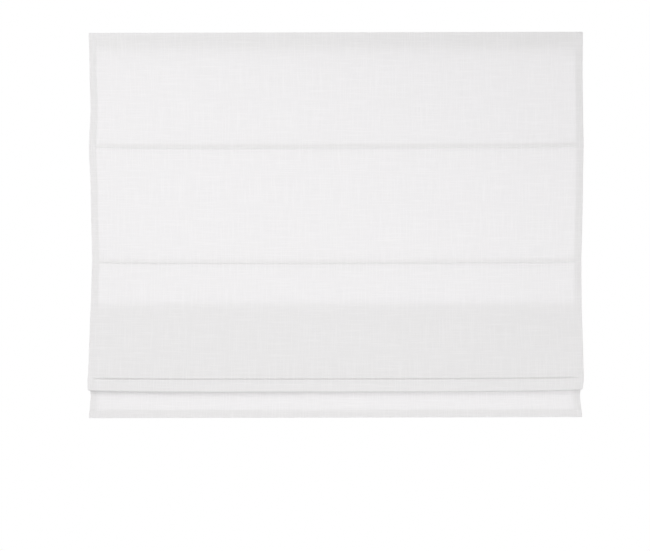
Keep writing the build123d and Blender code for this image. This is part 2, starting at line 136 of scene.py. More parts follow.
# %% [markdown]
# ## Studio
#
# White cloth on a white ground shows its form only by small steps of light. The world is white
# where the camera sees it, and dimmer as a light, so that the cloth keeps its tone. A sun lamp
# would be simpler, but it would draw a hard line under every fold. Wide lamps leave soft shadows:
# one in front at the height of the heading, a lower one that reaches under the lip, and one
# behind that shines through the cloth.


# %% Helpers for the world and the lamps
def make_world(ambient):
    """White to the eye, a soft grey as a light."""
    world = bpy.data.worlds.new("studio")
    bpy.context.scene.world = world
    world.use_nodes = True
    tree = world.node_tree
    back = tree.nodes["Background"]
    back.inputs["Color"].default_value = (1, 1, 1, 1)
    path = tree.nodes.new("ShaderNodeLightPath")
    seen = tree.nodes.new("ShaderNodeMath")
    seen.operation = "MAXIMUM"
    clear = tree.nodes.new("ShaderNodeMath")
    clear.operation = "MAXIMUM"
    strength = tree.nodes.new("ShaderNodeMapRange")
    strength.inputs["To Min"].default_value = ambient
    strength.inputs["To Max"].default_value = 1.0
    tree.links.new(path.outputs["Is Camera Ray"], seen.inputs[0])
    tree.links.new(path.outputs["Is Glossy Ray"], seen.inputs[1])
    tree.links.new(seen.outputs[0], clear.inputs[0])
    tree.links.new(path.outputs["Is Transmission Ray"], clear.inputs[1])
    tree.links.new(clear.outputs[0], strength.inputs["Value"])
    tree.links.new(strength.outputs["Result"], back.inputs["Strength"])


def soft_lamp(name, place, target, size, power):
    """A wide square lamp that faces a point."""
    bpy.ops.object.light_add(type="AREA", location=place)
    lamp = bpy.context.object
    lamp.name = name
    lamp.data.size = size
    lamp.data.energy = power
    aim = Vector(target) - Vector(place)
    lamp.rotation_euler = aim.to_track_quat("-Z", "Y").to_euler()


# %% World, lamps and floor
blind_centre = (0, 0, (cloth_top + cloth_low.z) / 2)
make_world(ambient=0.55)
soft_lamp("lamp_front_left", (-1.6, -2.9, 0.3), blind_centre, 1.8, 36)
soft_lamp("lamp_front_right", (1.0, -2.9, -1.2), blind_centre, 1.2, 20.5)
soft_lamp("lamp_back", (0.8, 3.2, 0.9), blind_centre, 2.4, 36)

floor_place = (0, -0.3, -1.95)
floor_width, floor_depth = 6.0, 3.8
bpy.ops.mesh.primitive_plane_add(size=1, location=floor_place)
floor = bpy.context.object
floor.name = "floor"
floor.scale = (floor_width, floor_depth, 1)
print("floor", floor_width, "x", floor_depth, "m, lamps", len(bpy.data.lights))

# %% [markdown]
# ## Finishes
#
# The hard pieces are powder-coated, enamelled or zinc-plated metal, moulded plastic and drawn
# fibreglass. A finish could be painted as an image, but a noise in the piece's own coordinates
# needs no unwrapping and stays sharp from near by. Each is a small tree of nodes: a base colour
# that is not quite even, a roughness and a fine relief. The finishes differ mostly in the grain
# of that relief and in how sharply they reflect, so one helper makes them all.


# %% Helper for plain finishes
patch_grains = 24
gloss_spread = 0.06


def finish_of(name, colour, rough, grain, relief, metal=0.0, stretch=(1, 1, 1), mottle=0.04):
    """A Principled finish whose colour and relief follow a noise in the piece's own coordinates."""
    material = bpy.data.materials.new(name)
    material.use_nodes = True
    tree = material.node_tree
    shader = tree.nodes["Principled BSDF"]
    shader.inputs["Metallic"].default_value = metal
    place = tree.nodes.new("ShaderNodeTexCoord")
    mapping = tree.nodes.new("ShaderNodeMapping")
    mapping.inputs["Scale"].default_value = stretch
    fine = tree.nodes.new("ShaderNodeTexNoise")
    fine.inputs["Scale"].default_value = grain
    fine.inputs["Detail"].default_value = 3
    broad = tree.nodes.new("ShaderNodeTexNoise")
    broad.inputs["Scale"].default_value = grain / patch_grains
    ramp = tree.nodes.new("ShaderNodeValToRGB")
    dark = [channel * (1 - mottle) for channel in colour]
    ramp.color_ramp.elements[0].position = 0.3
    ramp.color_ramp.elements[0].color = (*dark, 1)
    ramp.color_ramp.elements[1].position = 0.7
    ramp.color_ramp.elements[1].color = (*colour, 1)
    gloss = tree.nodes.new("ShaderNodeMapRange")
    gloss.inputs["To Min"].default_value = rough - gloss_spread
    gloss.inputs["To Max"].default_value = rough + gloss_spread
    bump = tree.nodes.new("ShaderNodeBump")
    bump.inputs["Distance"].default_value = relief
    bump.inputs["Strength"].default_value = 0.6
    tree.links.new(place.outputs["Object"], mapping.inputs["Vector"])
    for texture in (fine, broad):
        tree.links.new(mapping.outputs["Vector"], texture.inputs["Vector"])
    tree.links.new(broad.outputs["Fac"], ramp.inputs["Fac"])
    tree.links.new(ramp.outputs["Color"], shader.inputs["Base Color"])
    tree.links.new(broad.outputs["Fac"], gloss.inputs["Value"])
    tree.links.new(gloss.outputs["Result"], shader.inputs["Roughness"])
    tree.links.new(fine.outputs["Fac"], bump.inputs["Height"])
    tree.links.new(bump.outputs["Normal"], shader.inputs["Normal"])
    return material


# %% Finishes of the rail, the plastics, the steels and the rods
powder_coat = finish_of(
    "powder_coat", (0.86, 0.86, 0.87), 0.42, 900, 0.04 * MM, stretch=(0.6, 1, 1)
)
white_plastic = finish_of("white_plastic", (0.84, 0.84, 0.83), 0.36, 700, 0.03 * MM)
grey_plastic = finish_of("grey_plastic", (0.50, 0.51, 0.53), 0.40, 700, 0.03 * MM)
enamel = finish_of("enamel", (0.80, 0.80, 0.80), 0.30, 260, 0.02 * MM)
zinc = finish_of(
    "zinc", (0.62, 0.62, 0.64), 0.34, 320, 0.02 * MM, metal=1.0, stretch=(0.1, 1, 1), mottle=0.12
)
spring_steel = finish_of(
    "spring_steel", (0.40, 0.41, 0.44), 0.30, 400, 0.03 * MM, metal=1.0, mottle=0.15
)
fibreglass = finish_of("fibreglass", (0.84, 0.83, 0.77), 0.35, 500, 0.03 * MM, stretch=(0.04, 1, 1))
mill_aluminium = finish_of(
    "mill_aluminium",
    (0.75, 0.75, 0.77),
    0.38,
    420,
    0.02 * MM,
    metal=1.0,
    stretch=(0.05, 1, 1),
    mottle=0.06,
)
tape_pile = finish_of("tape_pile", (0.80, 0.80, 0.80), 0.85, 1500, 0.5 * MM)
floor_finish = finish_of("floor_finish", (0.96, 0.96, 0.96), 0.7, 12, 0.1 * MM, mottle=0.02)
floor.data.materials.append(floor_finish)
print("finishes", len(bpy.data.materials))

# %% [markdown]
# The nodes of the frame keep their meshes and only take a finish. They could be named one by one,
# but most of them are white plastic, so only the others are listed.

# %% A finish for every node
finish_by_node = {
    "headrail_profile": powder_coat,
    "hook_tape": tape_pile,
    "loop_tape": tape_pile,
    "lift_shaft": zinc,
    "shaft_clips": zinc,
    "power_spring": spring_steel,
    "bottom_bar": mill_aluminium,
}
for node, part in nodes.items():
    if node.startswith("wall_bracket"):
        finish = enamel
    elif node.startswith("rod_") and not node.endswith("caps"):
        finish = fibreglass
    elif node.startswith(("lock_lever", "drum_cradle", "spring_housing", "spring_lid")):
        finish = grey_plastic
    else:
        finish = finish_by_node.get(node, white_plastic)
    part.data.materials.clear()
    part.data.materials.append(finish)
print("finishes on", len(nodes), "nodes")

# %% [markdown]
# ## The weave
#
# The cloth is a thin slubbed weave. Its threads run across and along, they are uneven, and light
# comes through between them. Real threads could be modelled, but there are more than a thousand
# in each direction. Two noises, each stretched hard along one thread direction, give the fine
# threads, and two coarser ones give the slubs. They are read from a UV map that is laid out in
# metres, so the weave follows every fold and keeps one scale. The same value drives the cloth's
# cover, its colour and its relief. Part of the light passes as a Translucent shader does, which
# is why several layers look denser than one.
# The light let through is a cooler white than the face. That cool tint is painted light: it stands
# for cool light from behind, so single layers look cooler and doubled ones warmer.


# %% Helpers for the nodes of the weave
def thread_noise(tree, uv, across, along, detail, roughness):
    """Noise in long streaks: its scale differs across and along the cloth."""
    mapping = tree.nodes.new("ShaderNodeMapping")
    mapping.inputs["Scale"].default_value = (across, along, 1)
    texture = tree.nodes.new("ShaderNodeTexNoise")
    texture.noise_dimensions = "2D"
    texture.inputs["Scale"].default_value = 1
    texture.inputs["Detail"].default_value = detail
    texture.inputs["Roughness"].default_value = roughness
    tree.links.new(uv.outputs["UV"], mapping.inputs["Vector"])
    tree.links.new(mapping.outputs["Vector"], texture.inputs["Vector"])
    return texture.outputs["Fac"]


def mixed(tree, first, second, operation="ADD", third=None):
    """One Math node. Its two or three inputs may be sockets or numbers."""
    node = tree.nodes.new("ShaderNodeMath")
    node.operation = operation
    for socket, value in zip(node.inputs, (first, second, third)):
        if isinstance(value, (int, float)):
            socket.default_value = value
        elif value is not None:
            tree.links.new(value, socket)
    return node.outputs[0]


def ranged(tree, value, low, high, to_low, to_high):
    """A Map Range node, clamped."""
    node = tree.nodes.new("ShaderNodeMapRange")
    node.inputs["From Min"].default_value = low
    node.inputs["From Max"].default_value = high
    node.inputs["To Min"].default_value = to_low
    node.inputs["To Max"].default_value = to_high
    tree.links.new(value, node.inputs["Value"])
    return node.outputs["Result"]


# %% Cloth finish
threads_per_m = 900
thread_stretch = 22
slubs_per_m = 330
slub_stretch = 9
slub_start, slub_full = 0.52, 0.75
slub_share = 0.35
body_low, body_high = 0.3, 0.85
shade = 0.985


def cloth_finish(name, colour, through_colour_painted_cool, cover_low, cover_high, through):
    """A semi-sheer slubbed weave: a Principled face, light through it with a painted cool tint,
    gaps between threads.
    """
    material = bpy.data.materials.new(name)
    material.use_nodes = True
    tree = material.node_tree
    shader = tree.nodes["Principled BSDF"]
    output = tree.nodes["Material Output"]
    shader.inputs["Roughness"].default_value = 0.92
    shader.inputs["Specular IOR Level"].default_value = 0.2
    shader.inputs["Sheen Weight"].default_value = 0.08
    uv = tree.nodes.new("ShaderNodeUVMap")
    uv.uv_map = "cloth"
    warp = thread_noise(tree, uv, threads_per_m, thread_stretch, 2, 0.6)
    weft = thread_noise(tree, uv, thread_stretch, threads_per_m, 2, 0.6)
    warp_slub = thread_noise(tree, uv, slubs_per_m, slub_stretch, 2, 0.5)
    weft_slub = thread_noise(tree, uv, slub_stretch, slubs_per_m, 2, 0.5)
    threads = mixed(tree, warp, weft)
    warp_slub = ranged(tree, warp_slub, slub_start, slub_full, 0, 1)
    weft_slub = ranged(tree, weft_slub, slub_start, slub_full, 0, 1)
    slubs = mixed(tree, warp_slub, weft_slub)
    body = mixed(tree, slubs, slub_share, "MULTIPLY_ADD", mixed(tree, threads, 0.5, "MULTIPLY"))
    cover = ranged(tree, body, body_low, body_high, cover_low, cover_high)
    tint = tree.nodes.new("ShaderNodeValToRGB")
    tint.color_ramp.elements[0].position = 0.3
    tint.color_ramp.elements[0].color = (*[channel * shade for channel in colour], 1)
    tint.color_ramp.elements[1].position = 0.75
    tint.color_ramp.elements[1].color = (*colour, 1)
    bump = tree.nodes.new("ShaderNodeBump")
    bump.inputs["Distance"].default_value = 0.25 * MM
    bump.inputs["Strength"].default_value = 0.35
    # The colour of the light let through carries a painted cool tint, standing for cool light from
    # behind.
    glow = tree.nodes.new("ShaderNodeBsdfTranslucent")
    glow.inputs["Color"].default_value = (*through_colour_painted_cool, 1)
    mix_glow = tree.nodes.new("ShaderNodeMixShader")
    mix_glow.inputs["Fac"].default_value = through
    clear = tree.nodes.new("ShaderNodeBsdfTransparent")
    mix_cover = tree.nodes.new("ShaderNodeMixShader")
    tree.links.new(body, tint.inputs["Fac"])
    tree.links.new(tint.outputs["Color"], shader.inputs["Base Color"])
    tree.links.new(body, bump.inputs["Height"])
    tree.links.new(bump.outputs["Normal"], shader.inputs["Normal"])
    tree.links.new(shader.outputs["BSDF"], mix_glow.inputs[1])
    tree.links.new(glow.outputs["BSDF"], mix_glow.inputs[2])
    tree.links.new(cover, mix_cover.inputs["Fac"])
    tree.links.new(clear.outputs["BSDF"], mix_cover.inputs[1])
    tree.links.new(mix_glow.outputs["Shader"], mix_cover.inputs[2])
    tree.links.new(mix_cover.outputs["Shader"], output.inputs["Surface"])
    return material


# The second colour, of the light let through, is painted cool to stand for cool light from behind;
# the first is the cloth's own warm white.
weave = cloth_finish("weave", (0.905, 0.897, 0.893), (0.89, 0.88, 0.93), 0.945, 1.0, 0.18)
thread = finish_of("thread", (0.86, 0.85, 0.86), 0.7, 2600, 0.08 * MM)
print("cloth finishes", weave.name, "and", thread.name)

# %% [markdown]
# ## How the cloth hangs
#
# The frame's cloth is one thick solid. Here it becomes a thin sheet, cut flat and then laid along
# the same line: over the heading, down the front, forward over each rod, round the lip and up
# behind it. A simulation could let it fall by itself, but it would not land on the edges that the
# real one shows, so it is laid by rule. Its edges draw in between the rods and flare where a rod
# holds them out. Its seams dip a little in the middle, where only the cloth above holds the rod.
# And no cloth is perfectly flat.

# %% Rules of the hang
left_edge = [(24, 1), (-32, -0.5), (-80, -1.5), (-214, -4), (-324, 0.5), (-470, -4)]
left_edge += [(-653, -5), (-763, -2.5), (-873, 1), (-946, 3), (-1004, 4.5), (-1040, 7)]
left_edge += [(-1056, 7), (-1085, 1.5), (-1102, 3.5), (-1153, 8)]
right_edge = [(24, 7), (-105, 5.5), (-214, 6.5), (-324, 8), (-434, 6), (-562, 5), (-672, 3.5)]
right_edge += [(-800, 3.5), (-946, 6), (-983, 6.5), (-1038, 7), (-1085, 1), (-1153, 7)]
end_sag = [(26, 0), (-324, 0), (-674, 1), (-1024, 3), (-1070, 1), (-1153, 0)]
middle_sag = [(26, 0), (-324, 3.2), (-674, 4.8), (-1024, 6.4), (-1070, 6), (-1153, 0.8)]
tip_lift = [(-1000, 0), (-1045, 3.5), (-1085, 0)]
tip_start, tip_width = 0.95, 0.05
sway_depth = 1.3 * MM
sway_across, sway_along, sway_seed = 3.1, 4.3, 7
heading_reach = 0.3
seam_reach = 0.06


def eased(stops, z):
    """A value at a height, eased between stops. They are heights and values in millimetres."""
    for (above, first), (below, last) in zip(stops, stops[1:]):
        if z >= below * MM:
            share = min(1, max(0, (above * MM - z) / ((above - below) * MM)))
            return (first + (last - first) * (1 - cos(pi * share)) / 2) * MM
    return stops[-1][1] * MM


def hang(x, y, z, give=1):
    """Where a point of the flat, plumb cloth hangs. Where give is under one, it sags less."""
    share = x / half_width
    flare = eased(left_edge if x < 0 else right_edge, z)
    at_end, at_middle = eased(end_sag, z), eased(middle_sag, z)
    tip = max(0, (abs(share) - tip_start) / tip_width) ** 2
    sag = at_end + (at_middle - at_end) * (1 - share**4) - tip * eased(tip_lift, z)
    free = min(1, (cloth_top - z) / heading_reach, *[abs(z - seam) / seam_reach for seam in seams])
    sway = sway_depth * free * noise.noise(Vector((x * sway_across, z * sway_along, sway_seed)))
    return Vector((x + share * flare, y + give * sway, z - give * sag))


print("sag at the seams", [round(eased(middle_sag, seam) / MM, 1) for seam in seams], "mm")


# %% [markdown]
# The line of the front face is a function of height. It could be drawn as a curve, but a function
# keeps each seam on its rod. Between two seams it is a straight lean with a slight bow, and at
# each seam the tuck's stitches pull it in: the face swells a little over the rod and then steps
# back under it, which is the thin dark line seen from the room. Below the third seam it leans
# back towards the foot of the lip, so the lip catches a little less light.

# %% The front face
seam_2_out = 2.6 * MM
upper_bow = 4.0 * MM
middle_bow = 3.0 * MM
swell_depth = 0.7 * MM
lip_drop = 37 * MM
lip_recede = 3 * MM
step_depths = [2.2 * MM, 2.6 * MM, 5.0 * MM]
swell_place, swell_width = 5.5, 3.2
step_place, step_width = -1.7, 1.8
hollow_place, hollow_width, hollow_share = -6, 5, 0.35
end_ease = 6 * MM


def lean(z):
    """Depth of the front face at a height, with no seams in it."""
    stops = [(turned_foot, heading_y), *zip(seams, [panels[0], panels[1] - seam_2_out, panels[2]])]
    bows = [0, -upper_bow, middle_bow]
    for (above, first), (below, last), bow in zip(stops, stops[1:], bows):
        if z > below:
            share = min(1, max(0, (above - z) / (above - below)))
            return first + (last - first) * share + bow * 4 * share * (1 - share)
    return panels[2] + lip_recede * min(1, (seams[2] - z) / lip_drop)


def hump(place, centre, width):
    """One at the centre, and soon nothing on both sides of it."""
    return exp(-(((place - centre) / width) ** 2))


def seam_pull(z):
    """How far the stitches of the tucks draw the face back at a height."""
    pull = 0
    for seam, step_depth in zip(seams, step_depths):
        above = (z - seam) / MM
        pull -= swell_depth * hump(above, swell_place, swell_width)
        pull += step_depth * hump(above, step_place, step_width)
        pull += hollow_share * step_depth * hump(above, hollow_place, hollow_width)
    return pull


def within_tuck(x):
    """One between the side hems, none in them, eased across the tuck's end."""
    share = min(1, max(0, (tuck_half + end_ease / 2 - abs(x)) / end_ease))
    return share * share * (3 - 2 * share)


def front_y(z):
    """Depth of the front face between the side hems, pulled in by the stitches."""
    return lean(z) + seam_pull(z)


print("seams step back", [round(depth / MM, 1) for depth in step_depths], "mm")
print("lip leans back", round(lip_recede / MM, 1), "mm")


# %% Rows of a run
plain_step = 9 * MM
seam_step = 0.8 * MM
step_growth = 0.22


def front_levels(top, bottom):
    """Heights from top to bottom that crowd together near the seams."""
    levels = [top]
    while levels[-1] > bottom:
        near = min(abs(levels[-1] - seam) for seam in seams)
        levels.append(levels[-1] - min(plain_step, max(seam_step, step_growth * near)))
    levels[-1] = bottom
    return levels


def straight(start, end, step):
    """Points of a straight run, without its last one."""
    count = max(1, round(hypot(end[0] - start[0], end[1] - start[1]) / step))
    return [
        (start[0] + (end[0] - start[0]) * k / count, start[1] + (end[1] - start[1]) * k / count)
        for k in range(count)
    ]


def arc(centre, radius, first, last, count, squash=1):
    """Points of an arc in the YZ plane, by degrees from +Y towards +Z; squash lowers its height."""
    angles = [radians(first + (last - first) * k / count) for k in range(count + 1)]
    return [(centre[0] + radius * cos(a), centre[1] + squash * radius * sin(a)) for a in angles]


# %% [markdown]
# The real blind is one length of cloth. Here it is in three, because the blind opens and closes
# and they move with different rods. The first reaches from the heading round the bottom of the
# lip, the second climbs behind it to the fourth rod, and the third goes round that rod and down
# to the bottom hem. One sheet would have to bend at both rods at once. They meet where the joints
# are hidden, behind the lip and at the neck stitched below the rod.

# %% Sizes of the folds
lip_r = 12.5 * MM
lip_squash = 0.5
loop_r = 3.6 * MM
neck_drop = 9 * MM
neck_half = 1.0 * MM
flap_swing = 36 * MM
parting = -60
hem_r = 1.3 * MM
hem_rise = 19 * MM
hem_edge = 23 * MM

lip_z = seams[2] - lip_drop
lip_centre = (panels[2] + lip_recede + lip_r, lip_z)
rod_4 = (rods[3].y, rods[3].z)
neck_z = rod_4[1] - neck_drop
hem_y = bar_low.y - bar_room
hem_back_y = bar_high.y + bar_room
hem_foot = cloth_low.z + weave_t

print("lip at", round(lip_z, 3), "neck at", round(neck_z, 3), "hem at", round(hem_foot, 3))

# %% The three runs of cloth
heading_step = 8 * MM
loop_step = 1.5 * MM
swing_step = 4 * MM
hem_fold_step = 2 * MM
hem_back_step = 3 * MM
hem_turn_step = 1.2 * MM

heading_back = heading_y + 2 * weave_t
upper_run = straight((heading_back, turned_foot), (heading_back, cloth_top - layer), heading_step)
upper_run += arc((heading_y + weave_t, cloth_top - layer), weave_t, 0, 180, 4)
upper_run += [(lean(z), z) for z in front_levels(cloth_top - layer - 1 * MM, lip_z)]
upper_run += arc(lip_centre, lip_r, 180, 360 + parting, 16, lip_squash)[1:]

return_run = arc(lip_centre, lip_r, 360 + parting, 360, 8, lip_squash)[:-1]
return_run += straight((lip_centre[0] + lip_r, lip_z), (rod_4[0] - neck_half, neck_z), plain_step)
return_run += [(rod_4[0] - neck_half, neck_z)]

flap_run = straight((rod_4[0] - neck_half, neck_z), (rod_4[0] - loop_r, rod_4[1]), loop_step)
flap_run += arc(rod_4, loop_r, 180, 0, 12)
flap_run += straight((rod_4[0] + loop_r, rod_4[1]), (rod_4[0] + neck_half, neck_z), loop_step)[1:]
flap_run += straight((rod_4[0] + neck_half, neck_z), (hem_y, neck_z - flap_swing), swing_step)
flap_run += straight((hem_y, neck_z - flap_swing), (hem_y, hem_foot + hem_edge), plain_step)
flap_run += straight((hem_y, hem_foot + hem_edge), (hem_y, hem_foot + hem_r), hem_fold_step)
flap_run += arc((hem_y + hem_r, hem_foot + hem_r), hem_r, 180, 270, 4)
flap_run += arc((hem_back_y - hem_r, hem_foot + hem_r), hem_r, 270, 360, 4)
hem_back_top = (hem_back_y, hem_foot + hem_rise)
flap_run += straight((hem_back_y, hem_foot + 2 * hem_r), hem_back_top, hem_back_step)
flap_run += straight(hem_back_top, (hem_y + layer, hem_foot + hem_edge), hem_turn_step)
flap_run += [(hem_y + layer, hem_foot + hem_edge + 1.5 * MM)]
print("rows", len(upper_run), len(return_run), len(flap_run))

# %% [markdown]
# A cut length starts as a grid with one row for each point of its run. Across, the grid is wider
# than the blind, because its edges are turned to the back twice as a side hem. The hems could be
# sheets of their own, but then their fold would be an open edge. Each vertex is moved to its
# place: along the run by its row, across by its column, and behind the face by the depth of the
# hem's layers. A Solidify modifier gives the sheet its thickness. The UV map keeps the flat cut
# in metres.

# %% Columns of the cut
column_step = 15 * MM
hem_step = 5 * MM


def across_steps():
    """Columns as (flat place, place across, depth behind the face), from middle to right edge."""
    # The edge turns back as far as the tucks' ends, and its raw edge turns in between the layers.
    hem_start = tuck_half - 1 * MM
    steps = [(x, x, 0) for x, _ in straight((0, 0), (hem_start, 0), column_step)]
    steps += [(x, x, 0) for x, _ in straight((hem_start, 0), (half_width - layer, 0), hem_step)]
    flat = half_width - layer
    fold = [(x, depth) for x, depth in arc((half_width - layer, layer), layer, -90, 90, 5)]
    back = [(tuck_half + 8 * MM, 2 * layer), (tuck_half + layer, 2 * layer)]
    inner = [(x, d) for x, d in arc((tuck_half + layer, 1.5 * layer), layer / 2, 90, 270, 4)][1:]
    under = [(tuck_half + 9 * MM, layer), (half_width - 3 * MM, layer)]
    previous = fold[0]
    for x, depth in fold + back + inner + under:
        flat += hypot(x - previous[0], depth - previous[1])
        steps.append((flat, x, depth))
        previous = (x, depth)
    return steps


right_side = across_steps()
columns = [(-flat, -x, depth) for flat, x, depth in right_side[:0:-1]] + right_side


# %% Laying a flat cut along its run
def finish_cloth(sheet, flat_places):
    """Keep the flat cut as the UV map, and give the sheet its thickness and its weave."""
    mesh = sheet.data
    mesh.uv_layers.active.name = "cloth"
    for loop in mesh.loops:
        mesh.uv_layers["cloth"].data[loop.index].uv = flat_places[loop.vertex_index]
    bpy.ops.object.modifier_add(type="SOLIDIFY")
    sheet.modifiers[-1].thickness = weave_t
    sheet.modifiers[-1].offset = 0
    bpy.ops.object.modifier_apply(modifier=sheet.modifiers[-1].name)
    bpy.ops.object.shade_smooth_by_angle(angle=radians(50))
    mesh.materials.append(weave)
    sheet.select_set(False)


def lay_cloth(name, run, pull=lambda z: 0, give=lambda z: 1):
    """A sheet as wide as the cut that follows a run of (y, z) points, with its side hems turned."""
    bpy.ops.mesh.primitive_grid_add(
        x_subdivisions=len(columns) - 1, y_subdivisions=len(run) - 1, size=1
    )
    sheet = bpy.context.object
    sheet.name = name
    mesh = sheet.data
    lengths = [0]
    for (y0, z0), (y1, z1) in zip(run, run[1:]):
        lengths.append(lengths[-1] + hypot(y1 - y0, z1 - z0))
    flat_places = []
    for row, (y, z) in enumerate(run):
        y0, z0 = run[max(0, row - 1)]
        y1, z1 = run[min(len(run) - 1, row + 1)]
        span = hypot(y1 - y0, z1 - z0)
        back_y, back_z = -(z1 - z0) / span, (y1 - y0) / span
        for column, (flat, x, depth) in enumerate(columns):
            laid_y = y + back_y * depth + pull(z) * within_tuck(x)
            vertex = mesh.vertices[row * len(columns) + column]
            vertex.co = hang(x, laid_y, z + back_z * depth, give(z))
            flat_places.append((flat, -lengths[row]))
    finish_cloth(sheet, flat_places)
    print(name, round(lengths[-1], 3), "m long,", len(mesh.polygons), "faces")
    return sheet, lengths[-1]


# %% Upper cloth, returning cloth and flap
def return_give(z):
    """The returning cloth sags with the lip at its foot and not at all at the fourth rod."""
    return min(1, max(0, (neck_z - z) / (neck_z - lip_z)))


cloth_upper, upper_length = lay_cloth("cloth_upper", upper_run, seam_pull)
cloth_return, return_length = lay_cloth("cloth_return", return_run, give=return_give)
cloth_flap, flap_length = lay_cloth("cloth_flap", flap_run, give=lambda z: 0)

# %% [markdown]
# ## Tucks
#
# Each of the first three rods lies in a tuck, a doubled ridge of the same cloth that stands
# behind the face above its row of stitches. It is a narrow loop: up behind the face, over the top
# and down again to the stitches. It could be part of the long run, but as a piece of its own it
# stays round its rod when the cloth beside it bends. It is laid like the big sheets, without side
# hems, because it stops short of them.

# %% Rod tucks
tuck_rise = 9.6 * MM
tuck_r = 3 * MM
tuck_gap = 0.5 * MM
tuck_step = 2 * MM
front_foot = 5 * MM
back_foot = 4.5 * MM
turn_foot = 3.4 * MM
turn_end = -62
closing = [(2.4 * MM, 0.7 * MM), (1.1 * MM, 0.1 * MM)]


def lay_tuck(number, seam, panel):
    """A loop of cloth behind a seam, open at its ends, round one rod."""
    top = (panel + tuck_gap + tuck_r, seam + tuck_rise)
    run = [(front_y(seam + k * MM) + layer, seam + k * MM) for k in (0, 1.2, 2.4, 3.6)]
    run += straight((panel + tuck_gap, seam + front_foot), (top[0] - tuck_r, top[1]), tuck_step)
    run += arc(top, tuck_r, 180, 0, 8)
    back_y = top[0] + tuck_r
    run += straight((back_y, top[1] - tuck_step), (back_y, seam + back_foot), tuck_step)
    run += arc((top[0], seam + turn_foot), tuck_r, 0, turn_end, 4)
    run += [(front_y(seam) + depth, seam + rise) for depth, rise in closing]
    count = round(2 * tuck_half / column_step)
    bpy.ops.mesh.primitive_grid_add(x_subdivisions=count, y_subdivisions=len(run) - 1, size=1)
    tuck = bpy.context.object
    tuck.name = f"rod_tuck_{number}"
    mesh = tuck.data
    flat_places = []
    length = 0
    for row, (y, z) in enumerate(run):
        length += hypot(y - run[max(0, row - 1)][0], z - run[max(0, row - 1)][1])
        for column in range(count + 1):
            x = tuck_half * (2 * column / count - 1)
            mesh.vertices[row * (count + 1) + column].co = hang(x, y, z)
            flat_places.append((x, seam - length))
    finish_cloth(tuck, flat_places)
    return tuck, length


tucks = []
for number, (seam, panel) in enumerate(zip(seams, panels), start=1):
    tuck, tuck_length = lay_tuck(number, seam, panel)
    tucks.append(tuck)
print("cloth in a tuck", round(tuck_length, 3), "m")

# %% [markdown]
# ## Stitches
#
# A seam is a row of short threads that sink into the cloth at both ends. They could be a bump in
# the finish, but they catch the light as real ones do only if they stand up. One stitch is
# modelled from a small cylinder with tapered ends, and an Array modifier repeats it. The row is
# then moved onto the cloth vertex by vertex, with the same rules of the hang, so it follows every
# dip.

# %% A row of stitches
stitch_pitch = 3.6 * MM
stitch_length = 2.7 * MM
stitch_r = 0.22 * MM
stitch_end = 3 * MM
stitch_taper = 0.7


def stitch_row(name, start, end, face, upright=False, give=1):
    """A row of stitches across or upright, at the depth that face gives for a height."""
    turn = (0, 0 if upright else radians(90), 0)
    bpy.ops.mesh.primitive_cylinder_add(
        vertices=6, radius=stitch_r, depth=stitch_length, rotation=turn
    )
    row = bpy.context.object
    row.name = name
    bpy.ops.object.transform_apply(location=False, rotation=True, scale=False)
    bpy.ops.object.mode_set(mode="EDIT")
    bpy.ops.mesh.select_all(action="SELECT")
    bpy.ops.mesh.bevel(offset=stitch_r * stitch_taper, segments=1)
    bpy.ops.object.mode_set(mode="OBJECT")
    count = int(hypot(end[0] - start[0], end[1] - start[1]) / stitch_pitch)
    bpy.ops.object.modifier_add(type="ARRAY")
    array = row.modifiers[-1]
    array.count = count
    array.use_relative_offset = False
    array.use_constant_offset = True
    array.constant_offset_displace = (0, 0, -stitch_pitch) if upright else (stitch_pitch, 0, 0)
    bpy.ops.object.modifier_apply(modifier=array.name)
    for vertex in row.data.vertices:
        x, z = start[0] + vertex.co.x, start[1] + vertex.co.z
        vertex.co = hang(x, face(z) + vertex.co.y, z, give)
    bpy.ops.object.shade_smooth_by_angle(angle=radians(40))
    row.data.materials.append(thread)
    row.select_set(False)
    return row


def row_across(name, z, y, give=1):
    """A row from one side hem to the other at one height and depth."""
    reach = tuck_half - stitch_end
    return stitch_row(name, (-reach, z), (reach, z), lambda _: y, give=give)


# %% Rows across and up the sides
proud = weave_t / 2 + stitch_r * 0.3
below_seam = 0.6 * MM
seam_stitches = [
    row_across(f"stitches_rod_{number}", seam - below_seam, front_y(seam - below_seam) - proud)
    for number, seam in enumerate(seams, start=1)
]
heading_stitches = row_across(
    "stitches_heading", turned_foot + 1.6 * MM, front_y(turned_foot) - proud
)
neck_stitches = row_across("stitches_rod_4", neck_z, rod_4[0] + neck_half + proud, give=0)
hem_stitches = row_across("stitches_hem", hem_foot + hem_edge, hem_y - proud, give=0)

hem_line = tuck_half + 2.2 * MM
side_stitches = []
flap_stitches = []
for side, sign in (("left", -1), ("right", 1)):
    x = sign * hem_line
    top, foot = (x, cloth_top - 4 * MM), (x, lip_z - 2 * MM)
    side_stitches.append(
        stitch_row(f"stitches_side_{side}", top, foot, lambda z: lean(z) - proud, True)
    )
    top, foot = (x, neck_z - flap_swing), (x, hem_foot + 3 * MM)
    flap_stitches.append(
        stitch_row(f"stitches_flap_{side}", top, foot, lambda _: hem_y - proud, True, give=0)
    )
print("stitches stand", round(proud / MM, 2), "mm out of the middle of the weave")

# %% [markdown]
# ## Lift cords
#
# Three thin braided cords run down behind the cloth. Each comes off its drum, passes the ring of
# the second rod and ends in a stop below the ring of the fourth. A curve with a round bevel could
# make a loose cord, but these are always taut, so each is a straight tube, cut along its length
# so that it can stretch evenly. Each is in two lengths, because the rings move apart when the
# blind opens. The turns on the drums are a circle swept by a Screw modifier, nine times round from
# the first strand to the tenth.

# %% Cord finish and places
cord_finish = finish_of("cord_braid", (0.84, 0.84, 0.84), 0.75, 3200, 0.25 * MM, mottle=0.1)

